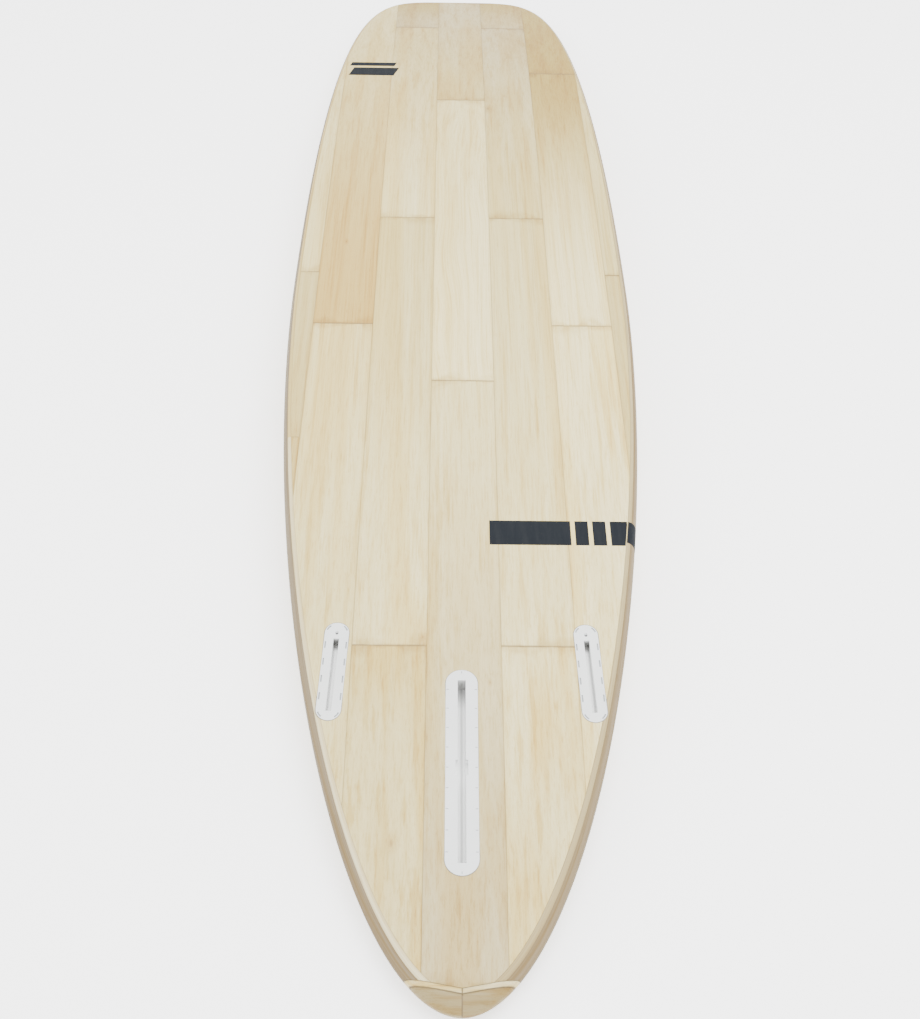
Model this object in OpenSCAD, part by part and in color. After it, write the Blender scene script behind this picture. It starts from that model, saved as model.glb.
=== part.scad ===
// Wood-skinned foam surfboard with a long centre fin box and two side fin boxes.
// The board lies deck down, as it does while fins are fitted.
// +Y runs from the tail to the nose and +Z out of the board's bottom.
// The origin is on the floor, under the middle of the board.

/* [Board] */
// Length from the tip of the tail to the tip of the nose
board_l = 2438; // [2200:1:2700]
// Greatest width
board_w = 546; // [530:1:580]
// Thickness at its thickest
board_t = 70; // [64:1:80]
// Where the widest point is, as a share of the length from the tail
wide_share = 0.489; // [0.46:0.001:0.52]
// How far the nose lifts off the flat middle of the bottom
nose_rocker = 113; // [80:1:130]
// How far the tail lifts off the flat middle of the bottom
tail_rocker = 53; // [35:1:60]
// How far the deck falls from its middle to its edge
deck_dome = 20; // [12:1:24]

/* [Skins] */
// Width of one skin plank
plank_w = 94; // [90:1:98]
// Thickness of the wood skins
ply_t = 3; // [2:0.5:4]
// How far the bottom planks sit to the right of the centre line
plank_shift = 3; // [0:0.5:4]

/* [Rails and tail] */
// Width of the wood that shows beside the bottom skin, at the tail
rail_show_tail = 17; // [14:1:20]
// The same at the nose
rail_show_nose = 8; // [6:1:10]
// Width of the rails, and of the roll from deck to edge
deck_roll = 28; // [26:1:34]
// Length of the tail block on the centre line
block_l = 26; // [20:1:30]
// Thickness of the pale strip in front of the tail block
strip_t = 6; // [4:1:8]

/* [Fin boxes] */
// Overall length of the centre box
centre_box_l = 270; // [250:1:290]
// Width of the centre box's flange
centre_box_w = 39.5; // [36:0.5:42]
// Distance from the tail to the middle of the centre box
centre_box_y = 283; // [270:1:310]
// Overall length of a side box
side_box_l = 144; // [138:1:150]
// Width of a side box's flange
side_box_w = 31; // [29:0.5:33]
// Distance from the tail to the middle of the side boxes
side_box_y = 416; // [400:1:440]
// Distance from the centre line to the middle of a side box
side_box_x = 159.5; // [150:0.5:165]
// How far the side boxes turn in towards the nose, in degrees
toe_in = 2; // [0:0.1:4]

/* [Hidden] */
$fn = 48;
BOTTOM_PLANKS = [
    "bottom_plank_centre_nose", "bottom_plank_centre_middle", "bottom_plank_centre_tail",
    "bottom_plank_inner_left_nose", "bottom_plank_inner_left_front",
    "bottom_plank_inner_left_middle", "bottom_plank_inner_left_tail",
    "bottom_plank_inner_right_nose", "bottom_plank_inner_right_front",
    "bottom_plank_inner_right_middle", "bottom_plank_inner_right_tail",
    "bottom_plank_outer_left_nose", "bottom_plank_outer_left_tail",
    "bottom_plank_outer_right_nose", "bottom_plank_outer_right_middle",
    "bottom_plank_outer_right_tail",
    "bottom_plank_edge_left_nose", "bottom_plank_edge_left_middle",
    "bottom_plank_edge_left_tail",
    "bottom_plank_edge_right_nose", "bottom_plank_edge_right_tail"];
DECK_PLANKS = [
    "deck_plank_centre",
    "deck_plank_inner_left", "deck_plank_inner_right",
    "deck_plank_outer_left", "deck_plank_outer_right",
    "deck_plank_edge_left", "deck_plank_edge_right"];

WOOD_PALE = [0.87, 0.83, 0.72];
WOOD_WARM = [0.84, 0.77, 0.63];
WOOD_DARK = [0.72, 0.64, 0.51];
INK = [0.20, 0.22, 0.25];
BOX_WHITE = [0.88, 0.89, 0.88];
STEEL = [0.62, 0.63, 0.64];
eps = 0.01;

// ---- Outline ----
half_w = board_w / 2;
wide_y = wide_share * board_l;
front_l = board_l - wide_y;
// Exponents of the two half outlines, each |x/a|^q + |y/b|^p = 1
tail_p = 1.86;
tail_q = 1.94;
nose_p = 2.11;
nose_q = 4.8;
tail_steps = 20;
nose_steps = 24;

function tail_point(a) =
    [half_w * pow(sin(a), 2 / tail_q), wide_y * (1 - pow(cos(a), 2 / tail_p))];
function nose_point(a) =
    [half_w * pow(cos(a), 2 / nose_q), wide_y + front_l * pow(sin(a), 2 / nose_p)];

// Right half of the outline, from the tail's tip to the nose's tip
OUTLINE = concat(
    [for (i = [0 : tail_steps - 1]) tail_point(90 * i / tail_steps)],
    [for (i = [0 : nose_steps - 1]) nose_point(90 * i / nose_steps)],
    [for (k = [1 : 3]) nose_point(90 - 90 / nose_steps * pow(0.4, k))],
    [nose_point(90)]);

// Unit vector that points out of the board at a point of the outline
function outward(p) =
    let (back = p.y < wide_y,
         q = back ? tail_q : nose_q,
         r = back ? tail_p : nose_p,
         len_y = back ? wide_y : front_l,
         v = p.x / half_w,
         u = abs(p.y - wide_y) / len_y,
         n = [q * pow(v, q - 1) / half_w, (back ? -1 : 1) * r * pow(u, r - 1) / len_y])
    n / norm(n);
function inset(p, e) = p - e * outward(p);

// Width of rail wood that shows from below, at a distance from the tail
function rail_show(y) =
    lookup(y, [[0, rail_show_tail], [0.35 * board_l, 12], [board_l, rail_show_nose]]);
SKIN_EDGE = [for (p = OUTLINE) inset(p, rail_show(p.y))];
DECK_EDGE = [for (p = OUTLINE) inset(p, deck_roll)];

// ---- Profile ----
flat_y = 0.42 * board_l;
thick_y = 0.48 * board_l;
function rocker(y) = y > flat_y
    ? nose_rocker * pow((y - flat_y) / (board_l - flat_y), 2.4)
    : tail_rocker * pow((flat_y - y) / flat_y, 2.2);
function thickness(y) =
    board_t * (1 - 0.72 * pow(abs(y - thick_y) / (board_l - thick_y), 2.6));
function deck_drop(y) = rocker(y) + thickness(y);
// The board rests on the deck side of its two tips, so its profile leans
rest_y = [deck_roll, board_l - deck_roll];
lean = (deck_drop(rest_y[1]) - deck_drop(rest_y[0])) / (rest_y[1] - rest_y[0]);
function raw_bottom(y) = deck_drop(rest_y[0]) + lean * (y - rest_y[0]) - rocker(y);
function raw_deck(y) = raw_bottom(y) - thickness(y);

// Straight runs between stations, so that the skins, the core and the decals lie parallel
BOTTOM_LINE = concat(
    [[0, raw_bottom(0)]],
    [for (q = SKIN_EDGE) [q.y, raw_bottom(q.y)]],
    [[board_l, raw_bottom(board_l)]]);
DECK_LINE = [for (q = DECK_EDGE) [q.y, raw_deck(q.y)]];
// The deck is flat across each plank
DOME_LINE = concat([[0, 0]], [for (k = [0 : 3])
    let (x = (k + 0.5) * plank_w)
    [x, deck_dome * (pow(x / half_w, 2) - pow(0.5 * plank_w / half_w, 2))]]);
function bottom_z(y) = lookup(y, BOTTOM_LINE);
function deck_z(x, y) = lookup(y, DECK_LINE) + lookup(abs(x), DOME_LINE);

// ---- Rail section ----
// Height of the widest line of the rail
function apex_z(p) =
    let (top = bottom_z(p.y), share = lookup(p.y, [[0, 0.34], [board_l, 0.5]]))
    top - share * (top - deck_z(p.x, p.y));
// Drop of a quarter ellipse of unit height, a distance e in from the edge
function roll_off(e, roll) =
    let (u = max(0, min(1, 1 - e / roll))) 1 - sqrt(1 - u * u);
// Points of the outside, a distance e in from the edge: bottom side and deck side
function bottom_side(p, e) =
    let (q = inset(p, e), flat_z = bottom_z(q.y))
    [q.x, q.y, flat_z - (flat_z - apex_z(p)) * roll_off(e, rail_show(p.y))];
function deck_side(p, e) =
    let (q = inset(p, e), flat_z = deck_z(q.x, q.y))
    [q.x, q.y, flat_z + (apex_z(p) - flat_z) * roll_off(e, deck_roll)];
// Distances in from the edge, evenly spaced round the roll, from e0 to the edge
function roll_steps(e0, roll, n) =
    let (a0 = asin(1 - e0 / roll))
    [for (k = [0 : n]) roll * (1 - sin(a0 + (90 - a0) * k / n))];
function reversed(v) = [for (i = [len(v) - 1 : -1 : 0]) v[i]];
function without_first(v) = [for (i = [1 : len(v) - 1]) v[i]];

// Glue line between the skins, the rails and the core
bond_t = 0.2;
outer_share = 0.58;
function outer_e(p) = outer_share * rail_show(p.y);

function outer_ring(p) =
    let (e0 = outer_e(p),
         tops = roll_steps(e0, rail_show(p.y), 6),
         lows = without_first(reversed(roll_steps(e0, deck_roll, 6))))
    concat([for (e = tops) bottom_side(p, e)],
           [for (e = lows) deck_side(p, e)]);
function middle_ring(p) =
    let (e0 = outer_e(p), e1 = rail_show(p.y), mid = (e0 + e1) / 2)
    concat([for (e = [e1, mid, e0]) bottom_side(p, e)],
           [for (e = [e0, mid, e1]) deck_side(p, e)]);
function inner_ring(p) =
    let (e0 = rail_show(p.y), e1 = deck_roll, drop = [0, 0, ply_t + bond_t])
    concat([for (e = [e1, e0]) bottom_side(p, e) - drop],
           [for (e = [e0, (e0 + e1) / 2, e1]) deck_side(p, e)]);
function block_ring(p) =
    let (tops = roll_steps(rail_show(p.y), rail_show(p.y), 8),
         lows = without_first(reversed(roll_steps(deck_roll, deck_roll, 8))))
    concat([bottom_side(p, deck_roll + 4)],
           [for (e = tops) bottom_side(p, e)],
           [for (e = lows) deck_side(p, e)],
           [deck_side(p, deck_roll + 4)]);

// ---- Solids from rings of points ----
module loft(rings) {
    n = len(rings[0]);
    last = (len(rings) - 1) * n;
    sides = [for (r = [0 : len(rings) - 2], j = [0 : n - 1])
        let (a = r * n + j, b = r * n + (j + 1) % n)
        each [[a, a + n, b + n], [a, b + n, b]]];
    polyhedron(
        points = [for (ring = rings) each ring],
        faces = concat(sides,
            [for (j = [1 : n - 2]) [0, j, j + 1]],
            [for (j = [1 : n - 2]) [last, last + j + 1, last + j]]));
}

function sorted(v) = len(v) < 2 ? v
    : let (p = v[floor(len(v) / 2)])
      concat(sorted([for (x = v) if (x < p) x]), [p], sorted([for (x = v) if (x > p) x]));
// Where an edge is s wide of the centre line, behind and ahead of the widest point
function crossings(edge, s) = [
    lookup(s, [for (q = edge) if (q.y <= wide_y + 30) [q.x, q.y]]),
    lookup(s, [for (q = edge) if (q.y >= wide_y - 30) [q.x, q.y]])];
least_w = 0.6;
// Every station at which a skin turns, or one of its seams meets the edge
function stations(edge, shift) = sorted(concat(
    [for (q = edge) q.y],
    [for (k = [0.5 : 1 : 2.5], side = [-1, 1], more = [0, least_w])
        each crossings(edge, k * plank_w + side * shift + more)]));
SKIN_Y = stations(SKIN_EDGE, plank_shift);
DECK_Y = stations(DECK_EDGE, 0);
function between(ys, y1, y2) =
    concat([y1], [for (y = ys) if (y > y1 + 0.2 && y < y2 - 0.2) y], [y2]);
function edge_line(edge) = [for (q = edge) [q.y, q.x]];

// One plank: x1 to x2 across and y1 to y2 along, cut by the skin's edge
module strip(edge, ys, x1, x2, y1, y2, top, low) {
    line = edge_line(edge);
    loft([for (y = between(ys, y1, y2))
        let (h = lookup(y, line), a = max(x1, -h), b = min(x2, h))
        if (b - a > least_w / 2)
            [[a, y, top(a, y)], [b, y, top(b, y)], [b, y, low(b, y)], [a, y, low(a, y)]]]);
}

// ---- Bottom skin ----
// Column, and the distances from the tail at which the plank starts and ends
tail_y = 18;
nose_y = board_l - rail_show_nose;
row_front = 2236;
row_centre_front = 1834;
row_inner = 1385;
row_outer_front = 1970;
row_outer = 1083;
row_edge = 1219;
row_edge_left = 821;
row_centre = 948;
row_inner_tail = 454;
BOTTOM_LAYOUT = [
    [0, row_centre_front, nose_y], [0, row_centre, row_centre_front], [0, tail_y, row_centre],
    [-1, row_front, nose_y], [-1, row_inner, row_front],
    [-1, row_inner_tail, row_inner], [-1, tail_y, row_inner_tail],
    [1, row_front, nose_y], [1, row_inner, row_front],
    [1, row_inner_tail, row_inner], [1, tail_y, row_inner_tail],
    [-2, row_outer, nose_y], [-2, tail_y, row_outer],
    [2, row_outer_front, nose_y], [2, row_outer, row_outer_front], [2, tail_y, row_outer],
    [-3, row_edge, nose_y], [-3, row_edge_left, row_edge], [-3, tail_y, row_edge_left],
    [3, row_edge, nose_y], [3, tail_y, row_edge]];

module bottom_plank(i) {
    column = BOTTOM_LAYOUT[i][0];
    color(i % 3 == 1 ? WOOD_WARM : WOOD_PALE) difference() {
        strip(SKIN_EDGE, SKIN_Y,
            (column - 0.5) * plank_w + plank_shift, (column + 0.5) * plank_w + plank_shift,
            BOTTOM_LAYOUT[i][1], BOTTOM_LAYOUT[i][2],
            function (x, y) bottom_z(y),
            function (x, y) bottom_z(y) - ply_t);
        if (BOTTOM_LAYOUT[i][1] < 2 * block_l) tail_end();
        if (BOTTOM_LAYOUT[i][1] < centre_box_y && column == 0) centre_box_space();
        if (BOTTOM_LAYOUT[i][1] < side_box_y + side_box_l && abs(column) == 2)
            side_box_space(sign(column));
        if (BOTTOM_LAYOUT[i][1] < side_box_y + side_box_l && column == 1) side_box_space(1);
    }
}

// ---- Deck skin ----
module deck_plank(i) {
    column = [0, -1, 1, -2, 2, -3, 3][i];
    color(i % 3 == 1 ? WOOD_PALE : WOOD_WARM) difference() {
        strip(DECK_EDGE, DECK_Y, (column - 0.5) * plank_w, (column + 0.5) * plank_w,
            rest_y[0] + 1, rest_y[1] - 1,
            function (x, y) deck_z(x, y) + ply_t,
            function (x, y) deck_z(x, y));
        if (column == 0) {
            leash_space();
            vent_space();
        }
    }
}

// ---- Foam core ----
module core_blank() {
    line = edge_line(DECK_EDGE);
    skin = ply_t + bond_t;
    xs = [for (k = [3.5 : -1 : -3.5]) k * plank_w];
    ys = [for (y = DECK_Y) if (lookup(y, line) > 3) y];
    loft([for (y = ys) let (h = lookup(y, line) - bond_t) concat(
        [[-h, y, bottom_z(y) - skin], [h, y, bottom_z(y) - skin]],
        [for (x = xs) let (c = max(-h, min(h, x))) [c, y, deck_z(c, y) + skin]])]);
}
module foam_core() {
    color("white") difference() {
        core_blank();
        centre_insert_block(insert_gap);
        side_insert_block(-1, insert_gap);
        side_insert_block(1, insert_gap);
        leash_insert_block(insert_gap);
        vent_space();
    }
}

// ---- Rails and tail block ----
module rail(rings, side) {
    mirror([side < 0 ? 1 : 0, 0, 0]) difference() {
        loft(rings);
        tail_end();
        side_box_space(1);
    }
}
module rail_outer(side) {
    color(WOOD_DARK) rail([for (p = OUTLINE) outer_ring(p)], side);
}
module rail_middle(side) {
    color(WOOD_PALE) rail([for (p = OUTLINE) middle_ring(p)], side);
}
module rail_inner(side) {
    color(WOOD_WARM) rail([for (p = OUTLINE) inner_ring(p)], side);
}
chevron = 0.18;
// Everything behind a chevron that crosses the centre line at y
module behind(y) {
    reach = board_w;
    translate([0, 0, -50]) linear_extrude(300)
        polygon([[0, y], [reach, y + chevron * reach], [reach, -50],
            [-reach, -50], [-reach, y + chevron * reach]]);
}
module tail_end() { behind(block_l); }
module tail_piece(side, from_y, to_y) {
    rings = [for (p = OUTLINE) if (p.y < 4 * block_l) block_ring(p)];
    mirror([side < 0 ? 1 : 0, 0, 0]) intersection() {
        loft(rings);
        difference() {
            behind(to_y);
            if (from_y > 0) behind(from_y);
        }
    }
}

module tail_block(side) {
    color(WOOD_WARM) tail_piece(side, 0, block_l - strip_t);
}
module tail_strip(side) {
    color(WOOD_PALE) tail_piece(side, block_l - strip_t, block_l);
}

// ---- Decals, printed film on the bottom skin ----
film_t = 0.15;
stripe_x = [38, 226];
stripe_y = [620, 663];
// Heavy bar, gap and thin bar of the nose mark, and their slant
mark_x = [-226, -134];
mark_y = [[1950, 1990], [2000, 2018]];
mark_slant = 0.25;
// A strip of film from y1 to y2 whose ends slant by a share of its length
module film(x1, x2, y1, y2, slant) {
    line = edge_line(SKIN_EDGE);
    color(INK) loft([for (y = between(SKIN_Y, y1, y2))
        let (lean_x = slant * (y - y1), edge_x = lookup(y, line) - 0.5,
             a = max(x1 + lean_x, -edge_x), b = min(x2 + lean_x, edge_x),
             z = bottom_z(y))
        [[a, y, z + film_t], [b, y, z + film_t], [b, y, z], [a, y, z]]]);
}
module stripe_decal() {
    film(stripe_x[0], stripe_x[1], stripe_y[0], stripe_y[1], 0);
}
module nose_bar(k) {
    film(mark_x[0], mark_x[1], mark_y[k][0], mark_y[k][1], mark_slant);
}

// ---- Fin boxes ----
// Places children on the bottom at x and y, level with it
module on_bottom(x, y) {
    reach = 60;
    slope = atan((raw_bottom(y + reach) - raw_bottom(y - reach)) / (2 * reach));
    translate([x, y, raw_bottom(y)]) rotate([slope, 0, 0]) children();
}
module stadium(l, w, h, low) {
    translate([0, 0, low]) linear_extrude(h) {
        square([w, l - w], center = true);
        for (end = [-1, 1]) translate([0, end * (l - w) / 2]) circle(d = w);
    }
}
fit_gap = 0.15;
insert_gap = 0.1;

centre_flange_t = 2;
centre_body = [26, 256, 25];
centre_slot = [9.9, 240, 22];
centre_sink = 0.5;
channel_w = 15;
channel_h = 5.5;
channel_z = -13.5;
notch_l = 20;
notch_y = 0;
tick = [3, 0.9, 0.4];
tick_pitch = 26.7;
module at_centre_box() {
    on_bottom(0, centre_box_y) translate([0, 0, -centre_sink]) children();
}
module centre_box_space() {
    at_centre_box() {
        stadium(centre_box_l + 2 * fit_gap, centre_box_w + 2 * fit_gap, 12, -centre_flange_t);
        stadium(centre_body.y + 2 * fit_gap, centre_body.x + 2 * fit_gap,
            centre_body.z + 12, -centre_body.z - fit_gap);
    }
}
module centre_fin_box() {
    color(BOX_WHITE) at_centre_box() difference() {
        union() {
            stadium(centre_box_l, centre_box_w, centre_flange_t, -centre_flange_t);
            stadium(centre_body.y, centre_body.x, centre_body.z - eps, -centre_body.z);
        }
        translate([-centre_slot.x / 2, -centre_slot.y / 2, -centre_slot.z])
            cube([centre_slot.x, centre_slot.y, centre_slot.z + 1]);
        translate([-channel_w / 2, -centre_slot.y / 2, channel_z])
            cube([channel_w, centre_slot.y, channel_h]);
        translate([-channel_w / 2, notch_y - notch_l / 2, channel_z])
            cube([channel_w, notch_l, 1 - channel_z]);
        for (side = [-1, 1], k = [-4 : 4])
            translate([side * (centre_box_w / 2 - 2.5) - tick.x / 2,
                k * tick_pitch - tick.y / 2, -tick.z])
                cube([tick.x, tick.y, 1]);
        for (end = [-1, 1])
            translate([-tick.y / 2, end * (centre_box_l / 2 - 3.5) - tick.x / 2, -tick.z])
                cube([tick.y, tick.x, 1]);
    }
}

side_flange_t = 1.5;
side_body = [20, 132, 15];
side_slot = [7, 106, 13];
side_slot_y = -5.5;
dash = [1.8, 10, 0.8];
dash_pitch = 25.3;
dash_x = 12.3;
screw_r = 2;
screw_l = 8;
screw_lean = 45;
screw_bore_r = 2.06;
// Middle of the screw's outer end, from the middle of the box
screw_at = [0, 54.5, -2.2];
module at_side_box(side) {
    on_bottom(side * side_box_x, side_box_y) rotate([0, 0, side * toe_in]) children();
}
module side_box_space(side) {
    at_side_box(side) {
        stadium(side_box_l + 2 * fit_gap, side_box_w + 2 * fit_gap, 12, -side_flange_t);
        stadium(side_body.y + 2 * fit_gap, side_body.x + 2 * fit_gap,
            side_body.z + 12, -side_body.z - fit_gap);
    }
}
module corner_dash() {
    // A dash that follows the flange's round end
    rotate_extrude(angle = 34) translate([dash_x, -dash.z]) square([dash.x, 2]);
}
module at_screw() {
    translate(screw_at) rotate([-screw_lean, 0, 0]) children();
}
module side_fin_box(side) {
    straight = side_box_l / 2 - side_box_w / 2;
    color(BOX_WHITE) at_side_box(side) difference() {
        union() {
            stadium(side_box_l, side_box_w, side_flange_t, -side_flange_t);
            stadium(side_body.y, side_body.x, side_body.z - eps, -side_body.z);
        }
        translate([-side_slot.x / 2, side_slot_y - side_slot.y / 2, -side_slot.z])
            cube([side_slot.x, side_slot.y, side_slot.z + 1]);
        for (x = [-1, 1], k = [-1.5 : 1.5])
            translate([x * (dash_x + dash.x / 2) - dash.x / 2, k * dash_pitch - dash.y / 2, -dash.z])
                cube([dash.x, dash.y, 2]);
        for (end = [0, 1]) rotate([0, 0, 180 * end]) translate([0, straight, 0]) {
            rotate([0, 0, 18]) corner_dash();
            rotate([0, 0, 128]) corner_dash();
        }
        at_screw() translate([0, 0, -14]) cylinder(r = screw_bore_r, h = 24);
    }
}
module set_screw(side) {
    color(STEEL) at_side_box(side) at_screw() difference() {
        translate([0, 0, -screw_l]) cylinder(r = screw_r, h = screw_l);
        translate([0, 0, -2.5]) cylinder(d = 2.3, h = 3, $fn = 6);
    }
}

// ---- Dense foam inserts round the boxes ----
// Each fills a pocket that is open to the skin and, at the sides, to the rail
module insert_block(l, w, h, grow) {
    translate([-w / 2 - grow, -l / 2 - grow, -h - grow])
        cube([w + 2 * grow, l + 2 * grow, h + 12]);
}
module centre_insert_block(grow) {
    at_centre_box() insert_block(292, 56, 31, grow);
}
module side_insert_block(side, grow) {
    at_side_box(side) insert_block(160, 52, 23, grow);
}
module centre_box_insert() {
    color("khaki") difference() {
        intersection() {
            core_blank();
            centre_insert_block(0);
        }
        centre_box_space();
    }
}
module side_box_insert(side) {
    color("khaki") difference() {
        intersection() {
            core_blank();
            side_insert_block(side, 0);
        }
        side_box_space(side);
    }
}

// ---- Leash plug and vent, in the deck ----
// Places children on the deck's centre line with +Z out of the deck
module on_deck(y) {
    reach = 30;
    slope = atan((raw_deck(y + reach) - raw_deck(y - reach)) / (2 * reach));
    translate([0, y, raw_deck(y)]) rotate([slope, 0, 0]) mirror([0, 0, 1]) children();
}
leash_y = 105;
cup_r = 13;
cup_h = 19;
cup_in_r = 10;
cup_in_h = 16;
cup_flange = [16, 1.8];
bar_r = 2;
bar_z = -7.5;
bar_l = 24;
module leash_space() {
    on_deck(leash_y) {
        translate([0, 0, -cup_flange.y]) cylinder(r = cup_flange.x + fit_gap, h = 8);
        translate([0, 0, -cup_h - fit_gap]) cylinder(r = cup_r + fit_gap, h = cup_h + 8);
    }
}
module leash_cup() {
    color([0.12, 0.12, 0.13]) on_deck(leash_y) difference() {
        union() {
            translate([0, 0, -cup_flange.y]) cylinder(r = cup_flange.x, h = cup_flange.y);
            translate([0, 0, -cup_h]) cylinder(r = cup_r, h = cup_h - eps);
        }
        translate([0, 0, -cup_in_h]) cylinder(r = cup_in_r, h = cup_in_h + 1);
        translate([-bar_l / 2, 0, bar_z]) rotate([0, 90, 0]) cylinder(r = bar_r, h = bar_l);
    }
}
module leash_bar() {
    color(STEEL) on_deck(leash_y)
        translate([-bar_l / 2, 0, bar_z]) rotate([0, 90, 0]) cylinder(r = bar_r, h = bar_l);
}
module leash_insert_block(grow) {
    on_deck(leash_y) translate([0, 0, -22 - grow]) cylinder(r = 26 + grow, h = 34);
}
module leash_insert() {
    color("khaki") difference() {
        intersection() {
            core_blank();
            leash_insert_block(0);
        }
        leash_space();
    }
}

vent_y = 1560;
vent_r = 9;
vent_h = 16;
vent_flange = [12, 1.6];
vent_screw_r = 5;
vent_head = [7, 1.4];
vent_screw_l = 8;
vent_hole_r = 1.5;
seal_r = 0.9;
module vent_space() {
    on_deck(vent_y) {
        translate([0, 0, -vent_flange.y]) cylinder(r = vent_flange.x + fit_gap, h = 8);
        translate([0, 0, -vent_h - fit_gap]) cylinder(r = vent_r + fit_gap, h = vent_h + 8);
    }
}
module vent_body() {
    color([0.12, 0.12, 0.13]) on_deck(vent_y) difference() {
        union() {
            translate([0, 0, -vent_flange.y]) cylinder(r = vent_flange.x, h = vent_flange.y);
            translate([0, 0, -vent_h]) cylinder(r = vent_r, h = vent_h - eps);
        }
        translate([0, 0, -vent_head.y]) cylinder(r = vent_head.x + 0.2, h = 3);
        translate([0, 0, -vent_head.y - 2 * seal_r]) cylinder(r = vent_head.x - 0.1, h = 3);
        translate([0, 0, -12]) cylinder(r = vent_screw_r + 0.06, h = 13);
        translate([0, 0, -vent_h - 1]) cylinder(r = vent_hole_r, h = 6);
    }
}
module vent_screw() {
    color(STEEL) on_deck(vent_y) difference() {
        union() {
            translate([0, 0, -vent_head.y]) cylinder(r = vent_head.x, h = vent_head.y);
            translate([0, 0, -vent_head.y - vent_screw_l])
                cylinder(r = vent_screw_r, h = vent_screw_l + eps);
        }
        translate([-5, -0.6, -0.9]) cube([10, 1.2, 2]);
    }
}
module vent_seal() {
    color("black") on_deck(vent_y) translate([0, 0, -vent_head.y - seal_r])
        rotate_extrude() translate([6, 0]) circle(r = 0.8);
}

// ---- The board, with its origin under its middle ----
module framed() {
    translate([0, -board_l / 2, 0]) children();
}
for (i = [0 : len(BOTTOM_PLANKS) - 1])
    framed() bottom_plank(i);
for (i = [0 : len(DECK_PLANKS) - 1])
    framed() deck_plank(i);
framed() foam_core();
framed() rail_outer(-1);  // rail_outer_left
framed() rail_outer(1);  // rail_outer_right
framed() rail_middle(-1);  // rail_middle_left
framed() rail_middle(1);  // rail_middle_right
framed() rail_inner(-1);  // rail_inner_left
framed() rail_inner(1);  // rail_inner_right
framed() tail_block(-1);  // tail_block_left
framed() tail_block(1);  // tail_block_right
framed() tail_strip(-1);  // tail_strip_left
framed() tail_strip(1);  // tail_strip_right
framed() stripe_decal();
framed() nose_bar(0);  // nose_bar_heavy
framed() nose_bar(1);  // nose_bar_thin
framed() centre_fin_box();
framed() side_fin_box(-1);  // side_fin_box_left
framed() side_fin_box(1);  // side_fin_box_right
framed() centre_box_insert();
framed() side_box_insert(-1);  // side_box_insert_left
framed() side_box_insert(1);  // side_box_insert_right
framed() set_screw(-1);  // set_screw_left
framed() set_screw(1);  // set_screw_right
framed() leash_cup();
framed() leash_bar();
framed() leash_insert();
framed() vent_body();
framed() vent_screw();
framed() vent_seal();
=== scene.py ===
"""A wood-skinned surfboard, lying deck down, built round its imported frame.

Metres, +Y to the nose, +Z out of the board's bottom. The hull formulas are those of the
CAD source, sampled more finely and in millimetres until a mesh is made.
"""

import math
import random

import bmesh
import bpy
import numpy as np
from mathutils import Matrix, Vector


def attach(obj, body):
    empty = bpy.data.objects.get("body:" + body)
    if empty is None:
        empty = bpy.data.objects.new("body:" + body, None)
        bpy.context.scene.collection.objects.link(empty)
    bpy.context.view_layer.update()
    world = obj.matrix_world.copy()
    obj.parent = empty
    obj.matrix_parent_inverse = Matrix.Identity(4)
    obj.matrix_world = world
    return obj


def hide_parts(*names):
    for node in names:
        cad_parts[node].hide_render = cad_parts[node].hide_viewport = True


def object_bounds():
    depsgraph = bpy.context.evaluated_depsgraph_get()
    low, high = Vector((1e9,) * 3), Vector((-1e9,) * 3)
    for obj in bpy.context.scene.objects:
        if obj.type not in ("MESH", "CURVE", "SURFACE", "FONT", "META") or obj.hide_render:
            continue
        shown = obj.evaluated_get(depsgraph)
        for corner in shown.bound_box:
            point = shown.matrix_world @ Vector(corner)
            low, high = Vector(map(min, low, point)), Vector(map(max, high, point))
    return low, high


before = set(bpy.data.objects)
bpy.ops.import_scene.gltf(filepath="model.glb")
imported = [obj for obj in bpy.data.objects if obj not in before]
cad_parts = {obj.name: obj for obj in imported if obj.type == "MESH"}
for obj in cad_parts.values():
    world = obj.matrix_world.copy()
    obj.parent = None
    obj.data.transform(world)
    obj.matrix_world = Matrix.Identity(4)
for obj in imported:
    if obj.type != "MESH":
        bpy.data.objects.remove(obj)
cad_low, cad_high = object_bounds()
MM = 0.001


def add_object(name, data):
    obj = bpy.data.objects.new(name, data)
    bpy.context.scene.collection.objects.link(obj)
    return obj


# ---- Camera, fitted to the board's outline and plank seams ----
cam_data = bpy.data.cameras.new("camera")
cam_data.sensor_width = 36
cam_data.lens = 47.454
camera = add_object("camera", cam_data)
camera.location = (-0.02694, -1.84248, 1.38660)
camera.rotation_euler = [math.radians(a) for a in (45.208, -0.965, -0.152)]
bpy.context.scene.camera = camera

# ---- Hull formulas, in millimetres, y from the tail ----
BOARD_L = 2438.0
HALF_W = 273.0
WIDE_Y = 0.489 * BOARD_L
FRONT_L = BOARD_L - WIDE_Y
# Powers that shape the outline along and across, behind and ahead of its widest place
TAIL_P, TAIL_Q, NOSE_P, NOSE_Q = 1.86, 1.94, 2.11, 4.8
# Rocker rises from FLAT_Y, and the board is thickest at THICK_Y
FLAT_Y, NOSE_ROCKER, TAIL_ROCKER = 0.42 * BOARD_L, 113, 53
THICK_Y, THICKNESS, DECK_DOME = 0.48 * BOARD_L, 70, 20
DECK_ROLL = 28.0
PLANK_W = 94.0
PLANK_SHIFT = 3.0
PLY_T = 3.0
TOP_Z = cad_high.z / MM
# Tail pieces: the front of the strip at the middle, the strip's width, and the chevron's rise
BLOCK_Y, STRIP_T, CHEVRON = 26.0, 6.0, 0.18


def metres(y):
    """Y in the shared frame, in metres, of a place measured from the tail."""
    return (y - BOARD_L / 2) * MM


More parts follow.
